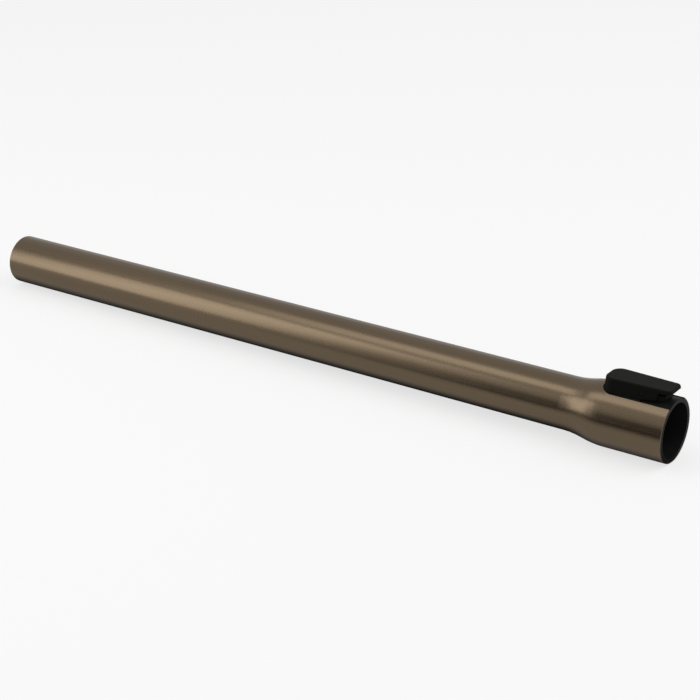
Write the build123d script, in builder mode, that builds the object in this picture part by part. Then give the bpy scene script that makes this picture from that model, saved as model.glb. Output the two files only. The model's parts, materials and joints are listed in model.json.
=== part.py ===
from build123d import *
from math import acos, atan, atan2, cos, degrees, hypot, radians, sin, tan
import os

os.makedirs("parts", exist_ok=True)

# A metal extension wand for a vacuum cleaner, with a swaged socket and a sprung rocker latch.
# Millimetres and degrees. The origin is the centre of the socket's mouth, +X leads out of the
# mouth along the tube's axis, and +Z points up through the latch.

# Tube
tube_od = 32.0
tube_wall = 0.8
wand_length = 491.5
socket_straight = 39.0
shoulder_length = 26.5
rim_chamfer = 0.25

# Bush that lines the socket
liner_wall = 2.25
liner_gap = 0.05
liner_tail = 9.0
socket_clearance = 0.2
relief_depth = 0.6
relief_margin = 1.5

# Slot in the top of the socket, open at the mouth, with a key on the bush in its rear half
slot_gap = 0.4
key_gap = 0.15

# Pivot of the latch
pivot_setback = 18.5
pivot_height = 1.5
pin_d = 2.2
pin_seat_gap = 0.02
pin_running_gap = 0.06
pin_recess = 0.25
pin_chamfer = 0.2
block_width = 10.0
ear_wall = 1.05
ear_gap = 0.35
side_play = 0.25
press_angle = 8.0

# Spring of the latch
spring_arm = 9.0
spring_od = 5.0
spring_wire = 0.6
spring_turns = 4.5
spring_gap = 0.05
pocket_gap = 0.5
pocket_wall = 1.3
pocket_web = 2.0
deck_gap = 0.6
peg_gap = 0.5
peg_length = 1.2

# Latch lever
lever_length = 43.0
lever_rear_half = 9.6
lever_rear_r = 7.0
lever_front_half = 8.2
lever_front_r = 3.6
lever_draft = 6.0
lever_wall = 1.6
lever_plate = 2.4
lever_top_round = 1.2
skirt_depth = 2.3
skirt_setback = 8.5
skirt_slope = 2.5
tongue_rise = 0.5
seat_gap = 0.35

# Catch under the lever's rear end
catch_inset = 7.0
catch_length = 4.0
catch_width = 5.0
catch_reach = 1.8
catch_ramp = 2.6
window_gap = 1.0
window_swing = 1.6

# Radii worked out from the fits, one inside the other
tube_r = tube_od / 2
bore_r = tube_r + socket_clearance
liner_r = bore_r + liner_wall
socket_r = liner_r + liner_gap + tube_wall
slot_half = lever_rear_half + slot_gap
slot_corner_r = lever_rear_r + slot_gap
key_half = slot_half - key_gap
block_half = block_width / 2

# Places along the axis, from the mouth back
lever_rear = -lever_length
slot_end = lever_rear - slot_gap
key_rear = slot_end + slot_corner_r
liner_end = -(socket_straight + liner_tail)
shoulder_foot = -(socket_straight + shoulder_length)
pivot_x = -pivot_setback
spring_x = pivot_x + spring_arm
pocket_r = spring_od / 2 + pocket_gap
block_front = spring_x + pocket_r + pocket_wall
catch_rear = lever_rear + catch_inset
catch_front = catch_rear + catch_length
window_rear = catch_rear - window_swing
window_front = catch_front + window_gap
land_end = window_front + relief_margin

# Heights above the axis
pin_r = pin_d / 2
ear_r = pin_r + ear_wall
pivot_z = socket_r + pivot_height
lever_under = pivot_z + ear_r + ear_gap
lever_top = lever_under + lever_plate
lever_base = socket_r - skirt_depth
deck_z = lever_under - (block_front - pivot_x) * tan(radians(press_angle)) - deck_gap
pocket_floor = bore_r + pocket_web
catch_tip = bore_r - catch_reach

# Outline of the lever in plan: the side's line touches the rear corner's round and the front one's
rear_x = lever_rear + lever_rear_r
rear_y = lever_rear_half - lever_rear_r
front_y = lever_front_half - lever_front_r
rear_to_front = hypot(-lever_front_r - rear_x, front_y - rear_y)
side_angle = degrees(
    atan2(front_y - rear_y, -lever_front_r - rear_x) + acos((lever_rear_r - lever_front_r) / rear_to_front)
)
pivot_axis = Axis((pivot_x, 0, pivot_z), (0, 1, 0))

# Room that cutting shapes run past the faces they cut
overcut = 5.0


def swaged_half(inset, far_x, mouth_x):
    """Half section of the swaged form, pulled in from the tube's outside by inset."""
    turn = 2 * atan((socket_r - tube_r) / shoulder_length)
    mid_x = (shoulder_foot - socket_straight) / 2 + inset * sin(turn)
    mid_r = (tube_r + socket_r) / 2 - inset * cos(turn)
    with BuildSketch(Plane.XZ) as half:
        with BuildLine():
            stem = Line((far_x, tube_r - inset), (shoulder_foot, tube_r - inset))
            foot = TangentArc(stem @ 1, (mid_x, mid_r), tangent=(1, 0))
            crown = TangentArc(foot @ 1, (-socket_straight, socket_r - inset), tangent=foot % 1)
            mouth = Line(crown @ 1, (mouth_x, socket_r - inset))
            Polyline(mouth @ 1, (mouth_x, 0), (far_x, 0), stem @ 0)
        make_face()
    return half.sketch


def lever_plan(inset):
    """Plan of the lever at its lower edge: rounded at its four corners, wider at the rear."""
    rear_r = lever_rear_r - inset
    front_r = lever_front_r - inset
    with BuildSketch(Plane.XY.offset(lever_base)) as plan:
        with BuildLine():
            rear = CenterArc((rear_x, rear_y), rear_r, side_angle, 180 - side_angle)
            front = CenterArc((-lever_front_r, front_y), front_r, 0, side_angle)
            Line(front @ 1, rear @ 0)
            Line(front @ 0, (-inset, 0))
            Line(rear @ 1, (lever_rear + inset, 0))
            mirror(about=Plane.XZ)
        make_face()
    return plan.sketch


def skirt_half(x, z):
    """Half width of the lever's outside at a place on its straight drafted side."""
    reach = lever_rear_r - (z - lever_base) * tan(radians(lever_draft))
    return rear_y + (reach - (x - rear_x) * cos(radians(side_angle))) / sin(radians(side_angle))


def socket_skin(gap):
    """Rod along the axis that stands off the socket's outside by gap."""
    return Solid.make_cylinder(socket_r + gap, 2 * socket_straight, Plane.YZ.offset(-1.5 * socket_straight))


# Tube: drawn, swaged out at the mouth and slotted for the latch
with BuildPart() as wand_tube:
    revolve(swaged_half(0, -wand_length, 0), axis=Axis.X)
    revolve(swaged_half(tube_wall, -wand_length - overcut, overcut), axis=Axis.X, mode=Mode.SUBTRACT)
    rims = wand_tube.edges().filter_by(GeomType.CIRCLE).group_by(Axis.X)
    chamfer(rims[0] + rims[-1], length=rim_chamfer)
    with BuildSketch() as slot:
        with Locations((slot_end, 0)):
            Rectangle(overcut - slot_end, 2 * slot_half, align=(Align.MIN, Align.CENTER))
        fillet(slot.vertices().group_by(Axis.X)[0], radius=slot_corner_r)
    extrude(amount=socket_r + overcut, mode=Mode.SUBTRACT)

# Liner: a bush that seats on the swaged shoulder, with a key in the slot and the latch's bearing block
with BuildPart() as socket_liner:
    revolve(swaged_half(tube_wall + liner_gap, -wand_length, 0), axis=Axis.X)
    split(bisect_by=Plane.YZ.offset(liner_end), keep=Keep.TOP)
    with BuildSketch(Plane.YZ.offset(key_rear)):
        Circle(socket_r)
        Rectangle(2 * key_half, socket_r, align=(Align.CENTER, Align.MIN), mode=Mode.INTERSECT)
    extrude(amount=pivot_x - key_rear)
    with BuildSketch(Plane.XZ):
        with Locations((pivot_x, pivot_z)):
            Circle(ear_r)
        with Locations((pivot_x, 0)):
            Rectangle(2 * ear_r, pivot_z, align=(Align.CENTER, Align.MIN))
        with Locations((pivot_x, 0)):
            Rectangle(block_front - pivot_x, deck_z, align=(Align.MIN, Align.MIN))
    extrude(amount=block_half, both=True)
    with BuildSketch(Plane.XZ):
        with BuildLine():
            Polyline(
                (overcut, 0),
                (overcut, bore_r),
                (land_end, bore_r),
                (land_end - relief_depth, bore_r + relief_depth),
                (liner_end - overcut, bore_r + relief_depth),
                (liner_end - overcut, 0),
                close=True,
            )
        make_face()
    revolve(axis=Axis.X, mode=Mode.SUBTRACT)
    with BuildSketch(Plane.XY.offset(pocket_floor)):
        with Locations((spring_x, 0)):
            Circle(pocket_r)
    extrude(amount=deck_z, mode=Mode.SUBTRACT)
    with BuildSketch(Plane.XY.offset(catch_tip)):
        with Locations(((window_rear + window_front) / 2, 0)):
            Rectangle(window_front - window_rear, catch_width + 2 * window_gap)
    extrude(amount=liner_r, mode=Mode.SUBTRACT)
    with BuildSketch(Plane.XZ):
        with Locations((pivot_x, pivot_z)):
            Circle(pin_r + pin_seat_gap)
    extrude(amount=block_width, both=True, mode=Mode.SUBTRACT)

# Lever: a drafted shell over the bearing block, with its tongue out over the mouth
with BuildPart() as latch_lever:
    extrude(lever_plan(0), amount=lever_top - lever_base, taper=lever_draft)
    fillet(latch_lever.edges().group_by(Axis.Z)[-1], radius=lever_top_round)
    extrude(lever_plan(lever_wall), amount=lever_under - lever_base, taper=lever_draft, mode=Mode.SUBTRACT)
    with BuildSketch(Plane.XZ):
        with BuildLine():
            lift = TangentArc((-skirt_setback, lever_under), (0, lever_under + tongue_rise), tangent=(1, 0))
            run_out = Line(lift @ 1, (lift @ 1) + overcut * (lift % 1))
            Polyline(run_out @ 1, (overcut, 0), (-skirt_setback - skirt_slope, 0), lift @ 0)
        make_face()
    extrude(amount=2 * lever_rear_half, both=True, mode=Mode.SUBTRACT)
    for side in (-1, 1):
        with BuildSketch(Plane.XZ.offset(side * (block_half + side_play))):
            with Locations((pivot_x, pivot_z)):
                Circle(ear_r)
        extrude(amount=side * (skirt_half(pivot_x, pivot_z) - lever_wall / 2 - block_half - side_play))
    add(socket_skin(seat_gap), mode=Mode.SUBTRACT)
    add(socket_skin(seat_gap).rotate(pivot_axis, -press_angle), mode=Mode.SUBTRACT)
    with BuildSketch(Plane.XZ):
        with BuildLine():
            Polyline(
                (catch_rear, lever_under + lever_plate / 2),
                (catch_rear, catch_tip),
                (catch_front - catch_ramp, catch_tip),
                (catch_front, catch_tip + catch_ramp),
                (catch_front, lever_under + lever_plate / 2),
                close=True,
            )
        make_face()
    extrude(amount=catch_width / 2, both=True)
    with BuildSketch(Plane.XY.offset(lever_under - peg_length)):
        with Locations((spring_x, 0)):
            Circle(spring_od / 2 - spring_wire - peg_gap)
    extrude(amount=peg_length + lever_plate / 2)
    with BuildSketch(Plane.XZ):
        with Locations((pivot_x, pivot_z)):
            Circle(pin_r + pin_running_gap)
    extrude(amount=2 * lever_rear_half, both=True, mode=Mode.SUBTRACT)

# Pin: pressed in the bearing block, with the lever's skirts turning on its ends
pin_half = skirt_half(pivot_x, pivot_z) - pin_recess
with BuildPart() as pivot_pin:
    with BuildSketch(Plane.XZ):
        with Locations((pivot_x, pivot_z)):
            Circle(pin_r)
    extrude(amount=pin_half, both=True)
    chamfer(pivot_pin.edges().filter_by(GeomType.CIRCLE), length=pin_chamfer)

# Spring: an open coil between the bearing block's pocket and the underside of the tongue
spring_foot = pocket_floor + spring_gap + spring_wire / 2
spring_head = lever_under - spring_gap - spring_wire / 2
with BuildPart() as latch_spring:
    with BuildLine() as coil:
        Helix(
            pitch=(spring_head - spring_foot) / spring_turns,
            height=spring_head - spring_foot,
            radius=(spring_od - spring_wire) / 2,
            center=(spring_x, 0, spring_foot),
        )
    with BuildSketch(Plane(origin=coil.line @ 0, z_dir=coil.line % 0)):
        RegularPolygon(spring_wire / 2, side_count=8)
    sweep(path=coil.line, is_frenet=True)

for piece, name in (
    (wand_tube, "wand_tube"),
    (socket_liner, "socket_liner"),
    (latch_lever, "latch_lever"),
    (pivot_pin, "pivot_pin"),
    (latch_spring, "latch_spring"),
):
    piece.part.label = name
    export_step(piece.part, f"parts/{name}.step")
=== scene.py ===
"""Looks of a metal vacuum extension wand: satin metal tube, black liner and sprung rocker latch."""

import json
import logging
from dataclasses import dataclass
from enum import Enum
from math import atan2, pi, radians, sin, tau

import bmesh
import bpy
from mathutils import Matrix, Vector


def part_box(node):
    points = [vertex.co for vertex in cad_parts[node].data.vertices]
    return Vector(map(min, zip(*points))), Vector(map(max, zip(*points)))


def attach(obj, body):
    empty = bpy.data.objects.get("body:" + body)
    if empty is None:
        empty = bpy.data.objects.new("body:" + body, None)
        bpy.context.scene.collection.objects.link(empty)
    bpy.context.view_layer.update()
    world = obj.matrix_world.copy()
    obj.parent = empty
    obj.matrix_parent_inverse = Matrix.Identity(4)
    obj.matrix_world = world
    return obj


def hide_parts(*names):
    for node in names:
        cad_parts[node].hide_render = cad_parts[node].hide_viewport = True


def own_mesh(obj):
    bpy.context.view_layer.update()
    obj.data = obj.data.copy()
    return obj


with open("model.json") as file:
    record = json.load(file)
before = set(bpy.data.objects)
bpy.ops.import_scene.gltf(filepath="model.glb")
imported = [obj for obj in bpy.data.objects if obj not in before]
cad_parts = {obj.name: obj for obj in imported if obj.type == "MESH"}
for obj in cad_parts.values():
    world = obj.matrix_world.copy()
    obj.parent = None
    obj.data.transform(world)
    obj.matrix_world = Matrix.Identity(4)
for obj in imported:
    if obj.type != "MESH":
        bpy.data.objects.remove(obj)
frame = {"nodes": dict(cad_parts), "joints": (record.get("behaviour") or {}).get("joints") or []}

LOG = logging.getLogger("wand")
MM = 0.001
NOISE_MEAN = 0.5

Colour = tuple[float, float, float]
Triple = tuple[float, float, float]


class Grain(Enum):
    """How a surface was worked, as the marks per metre that this left along each axis."""

    BRUSHED = (9.0, 1500.0, 1500.0)
    MOULDED = (2600.0, 2600.0, 2600.0)
    GROUND = (900.0, 900.0, 3200.0)


@dataclass(frozen=True)
class Value:
    """A node's output socket that takes part in Python arithmetic.

    Attributes:
        graph: The graph that new Math nodes go into.
        socket: The output socket that carries the value.
    """

    graph: "Graph"
    socket: bpy.types.NodeSocket

    def _math(self, operation: str, first: "Operand", second: "Operand") -> "Value":
        """Add one Math node.

        Args:
            operation: The Math node's operation.
            first: Its first operand.
            second: Its second operand.

        Returns:
            The node's result.
        """
        return self.graph.node("ShaderNodeMath", {"operation": operation}, {0: first, 1: second}).out()

    def __add__(self, other: "Operand") -> "Value":
        """Sum of this value and another."""
        return self._math("ADD", self, other)

    def __radd__(self, other: float) -> "Value":
        """Sum of a number and this value."""
        return self._math("ADD", other, self)

    def __sub__(self, other: "Operand") -> "Value":
        """This value less another."""
        return self._math("SUBTRACT", self, other)

    def __rsub__(self, other: float) -> "Value":
        """A number less this value."""
        return self._math("SUBTRACT", other, self)

    def __mul__(self, other: "Operand") -> "Value":
        """Product of this value and another."""
        return self._math("MULTIPLY", self, other)

    def __rmul__(self, other: float) -> "Value":
        """Product of a number and this value."""
        return self._math("MULTIPLY", other, self)


Operand = Value | float


@dataclass(frozen=True)
class Step:
    """A node of a graph, with its outputs as values."""

    graph: "Graph"
    node: bpy.types.Node

    def out(self, name: str | int = 0) -> Value:
        """One of the node's outputs, by name or number."""
        return Value(self.graph, self.node.outputs[name])


@dataclass(frozen=True)
class Graph:
    """A node tree that is filled from Python."""

    tree: bpy.types.NodeTree

    def node(
        self,
        kind: str,
        settings: dict[str, object] | None = None,
        sockets: dict[str | int, object] | None = None,
    ) -> Step:
        """Add a node of any kind.

        Args:
            kind: Blender's type name of the node.
            settings: Its properties, set before its sockets.
            sockets: Values or links of its inputs, by name or number.

        Returns:
            The new node.
        """
        made = self.tree.nodes.new(kind)
        for name, setting in (settings or {}).items():
            setattr(made, name, setting)
        for name, value in (sockets or {}).items():
            if isinstance(value, Value):
                self.tree.links.new(value.socket, made.inputs[name])
            else:
                made.inputs[name].default_value = value
        return Step(self, made)

    def blend(self, share: Operand, low: Colour, high: Colour) -> Value:
        """Mix two colours.

        Args:
            share: How much of the second colour, from 0 to 1.
            low: The first colour.
            high: The second colour.

        Returns:
            The mixed colour.
        """
        sockets = {"Factor": share, 6: (*low, 1.0), 7: (*high, 1.0)}
        return self.node("ShaderNodeMix", {"data_type": "RGBA"}, sockets).out(2)

    def ramp(self, value: Value, limits: tuple[float, float]) -> Value:
        """Smooth step from 0 to 1.

        Args:
            value: The value that is compared with the limits.
            limits: Where the step starts and where it ends.

        Returns:
            The step.
        """
        sockets = {"Value": value, "From Min": limits[0], "From Max": limits[1]}
        return self.node("ShaderNodeMapRange", {"interpolation_type": "SMOOTHSTEP"}, sockets).out()

    def noise(self, place: Value, marks: Triple, detail: float) -> Value:
        """Noise over an object's own coordinates.

        Args:
            place: The object coordinates.
            marks: Marks per metre along each axis.
            detail: Octaves of finer noise.

        Returns:
            A value around NOISE_MEAN.
        """
        placed = self.node("ShaderNodeMapping", None, {"Vector": place, "Scale": marks}).out()
        sockets = {"Vector": placed, "Scale": 1.0, "Detail": detail}
        return self.node("ShaderNodeTexNoise", None, sockets).out("Fac")


def empty_graph(owner: bpy.types.Material | bpy.types.World) -> Graph:
    """Clear the nodes of a material or a world.

    Args:
        owner: What the nodes belong to.

    Returns:
        Its graph, with no nodes left.
    """
    owner.use_nodes = True
    owner.node_tree.nodes.clear()
    return Graph(owner.node_tree)


def add_object(name: str, data: bpy.types.ID) -> bpy.types.Object:
    """Put a mesh, a light or a camera in the scene.

    Args:
        name: The object's name.
        data: What the object shows.

    Returns:
        The object.
    """
    made = bpy.data.objects.new(name, data)
    bpy.context.scene.collection.objects.link(made)
    return made


def add_mesh(name: str, bm: bmesh.types.BMesh) -> bpy.types.Object:
    """Put a finished mesh in the scene, and free what it was built in.

    Args:
        name: The object's name.
        bm: The finished mesh.

    Returns:
        The object.
    """
    mesh = bpy.data.meshes.new(name)
    bm.to_mesh(mesh)
    bm.free()
    return add_object(name, mesh)


def sort_faces(bm: bmesh.types.BMesh) -> None:
    """Sort a mesh's faces by their corners, because a spin makes them in no fixed order.

    Args:
        bm: The mesh.
    """
    bm.verts.index_update()
    ordered = sorted(bm.faces, key=lambda face: [vertex.index for vertex in face.verts])
    for place, face in enumerate(ordered):
        face.index = place
    bm.faces.sort()


@dataclass(frozen=True)
class Finish:
    """A surface finish, and the material that shows it.

    Attributes:
        name: The material's name.
        tint: Its palest colour.
        shade: Its darkest colour.
        roughness: Its mean roughness.
        metallic: 1 for metal and 0 for plastic.
        grain: How the surface was worked.
        relief: Depth of the grain's marks, in metres.
        spread: How far the roughness varies between the smoothest and the roughest place.
        specular: Level of a plastic's clear reflection.
        clouds: Marks per metre of the slow clouding along each axis.
        grain_share: How much the grain counts for beside the clouding.
    """

    name: str
    tint: Colour
    shade: Colour
    roughness: float
    metallic: float
    grain: Grain
    relief: float
    spread: float = 0.15
    specular: float = 0.5
    clouds: Triple = (14.0, 45.0, 45.0)
    grain_share: float = 0.6

    def material(self) -> bpy.types.Material:
        """Build the finish.

        Returns:
            A new material.
        """
        made = bpy.data.materials.new(self.name)
        graph = empty_graph(made)
        place = graph.node("ShaderNodeTexCoord").out("Object")
        marks = graph.noise(place, self.grain.value, detail=2.0)
        clouds = graph.noise(place, self.clouds, detail=1.0)
        uneven = self.grain_share * marks + (1 - self.grain_share) * clouds
        relief = {"Strength": 1.0, "Distance": self.relief, "Height": marks}
        bump = graph.node("ShaderNodeBump", None, relief)
        sockets = {
            "Base Color": graph.blend(uneven, self.shade, self.tint),
            "Roughness": self.roughness + self.spread * (uneven - NOISE_MEAN),
            "Metallic": self.metallic,
            "Specular IOR Level": self.specular,
            "Normal": bump.out(),
        }
        surface = graph.node("ShaderNodeBsdfPrincipled", None, sockets)
        graph.node("ShaderNodeOutputMaterial", None, {"Surface": surface.out()})
        return made


@dataclass(frozen=True)
class Palette:
    """Finishes of the wand's pieces."""

    tube: Finish = Finish(
        name="satin_bronze_metal",
        tint=(0.195, 0.147, 0.098),
        shade=(0.158, 0.117, 0.076),
        roughness=0.27,
        spread=0.16,
        metallic=1.0,
        grain=Grain.BRUSHED,
        relief=3e-6,
    )
    liner: Finish = Finish(
        name="liner_black",
        tint=(0.011, 0.011, 0.011),
        shade=(0.008, 0.008, 0.008),
        roughness=0.5,
        metallic=0.0,
        specular=0.08,
        grain=Grain.MOULDED,
        relief=1e-5,
    )
    lever: Finish = Finish(
        name="lever_black",
        tint=(0.0070, 0.0075, 0.0052),
        shade=(0.0050, 0.0055, 0.0038),
        roughness=0.45,
        metallic=0.0,
        specular=0.05,
        grain=Grain.MOULDED,
        relief=1e-5,
    )
    pin: Finish = Finish(
        name="blackened_steel",
        tint=(0.030, 0.030, 0.029),
        shade=(0.020, 0.020, 0.019),
        roughness=0.35,
        metallic=1.0,
        grain=Grain.GROUND,
        relief=2e-6,
    )
    wire: Finish = Finish(
        name="spring_wire",
        tint=(0.55, 0.55, 0.54),
        shade=(0.44, 0.44, 0.43),
        roughness=0.28,
        metallic=1.0,
        grain=Grain.GROUND,
        relief=2e-6,
    )


def dress(name: str, material: bpy.types.Material) -> None:
    """Give a node of the frame its finish.

    Args:
        name: The node's name.
        material: The finish.
    """
    mesh = frame["nodes"][name].data
    mesh.materials.clear()
    mesh.materials.append(material)
    LOG.info("%s dressed in %s", name, material.name)


@dataclass
class Wand:
    """The tube with the liner that is pressed in its socket."""

    tube: str = "wand_tube"
    liner: str = "socket_liner"

    def dress(self, palette: Palette) -> None:
        """Give the tube and the liner their finishes."""
        dress(self.tube, palette.tube.material())
        dress(self.liner, palette.liner.material())


@dataclass
class Latch:
    """The rocker on its pin, with the coil spring that lifts its tongue.

    Attributes:
        lever: Node of the rocker.
        pin: Node of the pin that it rocks on.
        spring: Node that the coil stands for.
        joint: Joint of the rocker, whose range gives how far the tongue drops over the coil.
        wire: The wire's diameter.
        closed_turns: Turns that lie wire on wire at each end of the coil.
        open_turns: Turns between the closed ends.
        wire_sides: Corners of the wire's section.
        steps_per_turn: Sections along one turn.
    """

    lever: str = "latch_lever"
    pin: str = "pivot_pin"
    spring: str = "latch_spring"
    joint: str = "latch_rock"
    wire: float = 0.6 * MM
    closed_turns: float = 1.0
    open_turns: float = 2.5
    wire_sides: int = 14
    steps_per_turn: int = 40

    def build(self) -> bpy.types.Object:
        """Wind the round wire coil with closed ends that is shown for the spring.

        Returns:
            The coil, in place.
        """
        low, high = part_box(self.spring)
        centre = (low + high) / 2
        wire_r = self.wire / 2
        mean_r = (high.x - low.x) / 2 - wire_r
        closed_rise = self.closed_turns * self.wire
        open_rise = high.z - low.z - self.wire - 2 * closed_rise
        closed_end = (self.closed_turns, closed_rise)
        start = Matrix.Translation((centre.x + mean_r, centre.y, low.z + wire_r))
        upright = start @ Matrix.Rotation(radians(90), 4, "X")
        bm = bmesh.new()
        bmesh.ops.create_circle(bm, segments=self.wire_sides, radius=wire_r, matrix=upright)
        ring = bm.edges[:]
        for turns, climb in (closed_end, (self.open_turns, open_rise), closed_end):
            ring = self._wind(bm, ring, centre, turns, climb)
        bmesh.ops.holes_fill(bm, edges=[edge for edge in bm.edges if edge.is_boundary])
        bmesh.ops.recalc_face_normals(bm, faces=bm.faces)
        sort_faces(bm)
        coil = add_mesh("latch_coil", bm)
        coil.data.shade_smooth()
        return coil

    def _wind(
        self,
        bm: bmesh.types.BMesh,
        ring: list[bmesh.types.BMEdge],
        centre: Vector,
        turns: float,
        climb: float,
    ) -> list[bmesh.types.BMEdge]:
        """Carry the wire's section on round the coil's axis.

        Args:
            bm: The mesh being wound.
            ring: The section's edges where the last stretch ended.
            centre: A point on the coil's axis.
            turns: How far to go round.
            climb: How far to go up meanwhile.

        Returns:
            The section's edges at the end of this stretch.
        """
        steps = round(turns * self.steps_per_turn)
        made = bmesh.ops.spin(
            bm,
            geom=ring,
            cent=centre,
            axis=(0, 0, 1),
            dvec=(0, 0, climb / steps),
            angle=turns * tau,
            steps=steps,
            use_duplicate=False,
        )
        return [item for item in made["geom_last"] if isinstance(item, bmesh.types.BMEdge)]

    def dress(self, coil: bpy.types.Object, palette: Palette) -> None:
        """Give the latch its finishes, hang the coil on the wand and hide the spring that it stands for.

        Args:
            coil: The coil that is shown for the spring.
            palette: The finishes.
        """
        dress(self.lever, palette.lever.material())
        dress(self.pin, palette.pin.material())
        coil.data.materials.append(palette.wire.material())
        low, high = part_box(self.spring)
        hinge = next(joint for joint in frame["joints"] if joint["name"] == self.joint)
        drop = (high.x - hinge["pos_m"][0]) * sin(radians(max(hinge["range_deg"])))
        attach(coil, "wand")
        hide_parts(self.spring)
        1 - drop / (high.z - low.z)
        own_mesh(coil)
        LOG.info("%s stands for %s", coil.name, self.spring)


@dataclass(frozen=True)
class Softbox:
    """A studio light with a plain rectangular face.

    Attributes:
        name: The light's name.
        place: The middle of its face.
        along: Direction that its length follows.
        length: Length of its face.
        width: Width of its face.
        radiance: Brightness of its face.
        aim: Point that it faces, near the middle of the wand.
    """

    name: str
    place: Triple
    along: Triple
    length: float
    width: float
    radiance: float
    aim: Triple = (-0.245, 0.0, 0.0)

    def build(self) -> None:
        """Hang the light, with its length along the given direction."""
        lamp = bpy.data.lights.new(self.name, "AREA")
        lamp.shape = "RECTANGLE"
        lamp.size = self.length
        lamp.size_y = self.width
        lamp.energy = self.radiance * self.length * self.width * pi
        back = (Vector(self.place) - Vector(self.aim)).normalized()
        along = Vector(self.along)
        side = (along - along.dot(back) * back).normalized()
        turn = Matrix((side, back.cross(side), back)).transposed().to_4x4()
        made = add_object(self.name, lamp)
        made.matrix_world = Matrix.Translation(self.place) @ turn
        made.visible_camera = False
        LOG.info("light %s hung", self.name)


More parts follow.
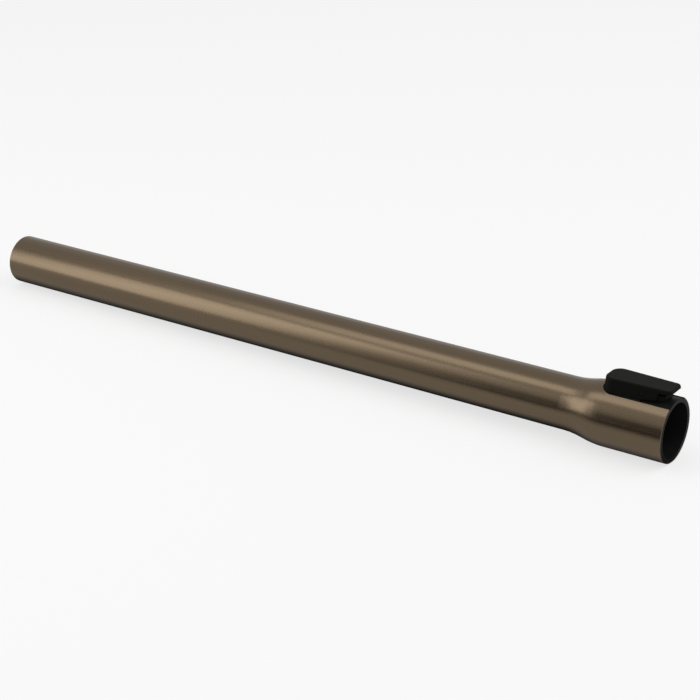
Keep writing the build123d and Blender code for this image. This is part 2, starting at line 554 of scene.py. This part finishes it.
@dataclass
class Studio:
    """Floor, light and camera around the wand.

    Attributes:
        floor_tint: Colour of the floor's paper.
        floor_lift: Share of plain white in the floor as it is seen.
        painted_reflection_shade: Share of the floor's light that painted shade takes away over the whole
            floor in reflections.
        painted_shadow_x: Where the painted shadow before the wand in the floor's reflection starts and is
            full, along X.
        painted_shadow_y: The same along Y.
        painted_contact_shadow_reach: Half width of the painted contact shadow in reflections under the
            tube.
        floor_reach: Half length of the floor's sides.
        socket_straight: Length of the socket up to the line where it rests on the floor.
        room_level: Brightness of the room.
        dim_level: Brightness of its dim side.
        dim_side: Direction of the dim side.
        dim_edge: Cosine of the angle from that direction where the room starts to dim.
        dim_core: Cosine of the angle where it is dimmest.
        camera_place: Where the camera stands.
        camera_forward: Direction that it looks in.
        lens: Its focal length, in millimetres.
        sensor: Width of its sensor, in millimetres.
        nearest: Distance from which it sees.
        softboxes: The lights.
    """

    floor_tint: Colour = (0.95, 0.95, 0.95)
    floor_lift: float = 0.7
    # Painted shade and painted shadows that the floor shows only in the wand's reflections.
    painted_reflection_shade: float = 0.3
    painted_shadow_x: tuple[float, float] = (-0.42, -0.15)
    painted_shadow_y: tuple[float, float] = (-0.05, -0.13)
    painted_contact_shadow_reach: float = 0.019
    floor_reach: float = 9.0
    socket_straight: float = 39 * MM
    room_level: float = 0.6
    dim_level: float = 0.05
    dim_side: Triple = (-0.1, -0.99, 0.05)
    dim_edge: float = 0.875
    dim_core: float = 0.94
    camera_place: Triple = (0.3680, -0.8605, 0.4394)
    camera_forward: Triple = (-0.5184, 0.7603, -0.3915)
    lens: float = 94.1
    sensor: float = 36.0
    nearest: float = 0.01
    softboxes: tuple[Softbox, ...] = (
        Softbox(
            name="overhead_box",
            place=(-0.62, -0.31, 1.08),
            along=(1.0, 0.0, 0.0),
            length=0.7,
            width=0.5,
            radiance=1.25,
        ),
        Softbox(
            name="side_box",
            place=(-1.03, -0.77, 0.44),
            along=(0.71, -0.70, 0.0),
            length=0.5,
            width=0.9,
            radiance=1.75,
        ),
        Softbox(
            name="mouth_fill",
            place=(0.9, 0.5, 1.4),
            along=(0.0, 1.0, 0.0),
            length=1.2,
            width=1.2,
            radiance=1.8,
        ),
    )

    def floor(self) -> None:
        """Lay the pale floor that the socket and the plain end rest on."""
        low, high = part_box("wand_tube")
        vertices = frame["nodes"]["wand_tube"].data.vertices
        end_r = max(vertex.co.z for vertex in vertices if vertex.co.x < low.x + MM)
        shoulder = Vector((high.x - self.socket_straight, 0, low.z))
        spigot = Vector((low.x, 0, -end_r))
        slope = atan2(spigot.z - shoulder.z, shoulder.x - spigot.x)
        lay = Matrix.Translation(shoulder) @ Matrix.Rotation(slope, 4, "Y")
        bm = bmesh.new()
        bmesh.ops.create_grid(bm, x_segments=1, y_segments=1, size=self.floor_reach, matrix=lay)
        made = add_mesh("studio_floor", bm)
        made.data.materials.append(self._floor_finish())
        LOG.info("floor laid")

    def _floor_finish(self) -> bpy.types.Material:
        """Pale paper that stays white in view and carries painted shade and painted shadows in the wand's
        reflections.

        Returns:
            The floor's material.
        """
        made = bpy.data.materials.new("pale_paper")
        graph = empty_graph(made)
        path = graph.node("ShaderNodeLightPath")
        mirrored = path.out("Is Glossy Ray")
        seen = path.out("Is Camera Ray") + mirrored + path.out("Is Transmission Ray")
        paper = graph.node("ShaderNodeBsdfDiffuse", None, {"Color": (*self.floor_tint, 1.0)})
        glow = graph.node("ShaderNodeEmission", None, {"Strength": 1.0})
        # Black emission: the painted shade that the floor shows in reflections.
        black = graph.node("ShaderNodeEmission", None, {"Strength": 0.0})
        lifted = {0: self.floor_lift * seen, 1: paper.out(), 2: glow.out()}
        white = graph.node("ShaderNodeMixShader", None, lifted)
        # Glossy rays see the floor mixed towards black by the painted shade.
        painted_shade_mix = {0: mirrored * self._painted_shade_share(graph), 1: white.out(), 2: black.out()}
        mixed = graph.node("ShaderNodeMixShader", None, painted_shade_mix)
        graph.node("ShaderNodeOutputMaterial", None, {"Surface": mixed.out()})
        return made

    def _painted_shade_share(self, graph: Graph) -> Value:
        """Painted shade on the floor in the wand's reflections, even over the whole floor and fullest as
        a painted shadow before the wand and a painted contact shadow under it.

        Args:
            graph: The floor's graph.

        Returns:
            The share of the floor's light that the painted shade takes away.
        """
        place = graph.node("ShaderNodeTexCoord").out("Object")
        axes = graph.node("ShaderNodeSeparateXYZ", None, {0: place})
        x, y = axes.out("X"), axes.out("Y")
        # Painted shadow before the wand, seen only in reflections.
        painted_shadow_before = graph.ramp(x, self.painted_shadow_x) * graph.ramp(y, self.painted_shadow_y)
        # Painted contact shadow under the tube, seen only in reflections.
        painted_contact_shadow = graph.ramp(y * y, (self.painted_contact_shadow_reach**2, 0.0))
        # Painted shade over the whole floor, plus the painted shadows.
        return self.painted_reflection_shade + (1 - self.painted_reflection_shade) * (painted_shadow_before + painted_contact_shadow)

    def light(self) -> None:
        """Set the room, dim on one side, and hang the softboxes."""
        world = bpy.data.worlds.new("studio")
        graph = empty_graph(world)
        towards = graph.node("ShaderNodeTexCoord").out("Generated")
        sockets = {0: towards, 1: Vector(self.dim_side).normalized()}
        facing = graph.node("ShaderNodeVectorMath", {"operation": "DOT_PRODUCT"}, sockets).out("Value")
        dimming = graph.ramp(facing, (self.dim_edge, self.dim_core))
        level = graph.blend(dimming, (self.room_level,) * 3, (self.dim_level,) * 3)
        room = graph.node("ShaderNodeBackground", None, {"Color": level})
        graph.node("ShaderNodeOutputWorld", None, {"Surface": room.out()})
        bpy.context.scene.world = world
        for softbox in self.softboxes:
            softbox.build()

    def camera(self) -> None:
        """Set the camera at the photograph's viewing angle."""
        data = bpy.data.cameras.new("camera")
        data.sensor_width = self.sensor
        data.lens = self.lens
        data.clip_start = self.nearest
        made = add_object("camera", data)
        made.location = self.camera_place
        made.rotation_euler = Vector(self.camera_forward).to_track_quat("-Z", "Y").to_euler()
        bpy.context.scene.camera = made
        bpy.context.scene.view_settings.view_transform = "Standard"
        LOG.info("camera set")


def main() -> None:
    """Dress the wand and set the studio."""
    logging.basicConfig(level=logging.INFO, format="%(message)s")
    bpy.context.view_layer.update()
    palette = Palette()
    Wand().dress(palette)
    latch = Latch()
    latch.dress(latch.build(), palette)
    studio = Studio()
    studio.floor()
    studio.light()
    studio.camera()


if __name__ == "__main__":
    main()
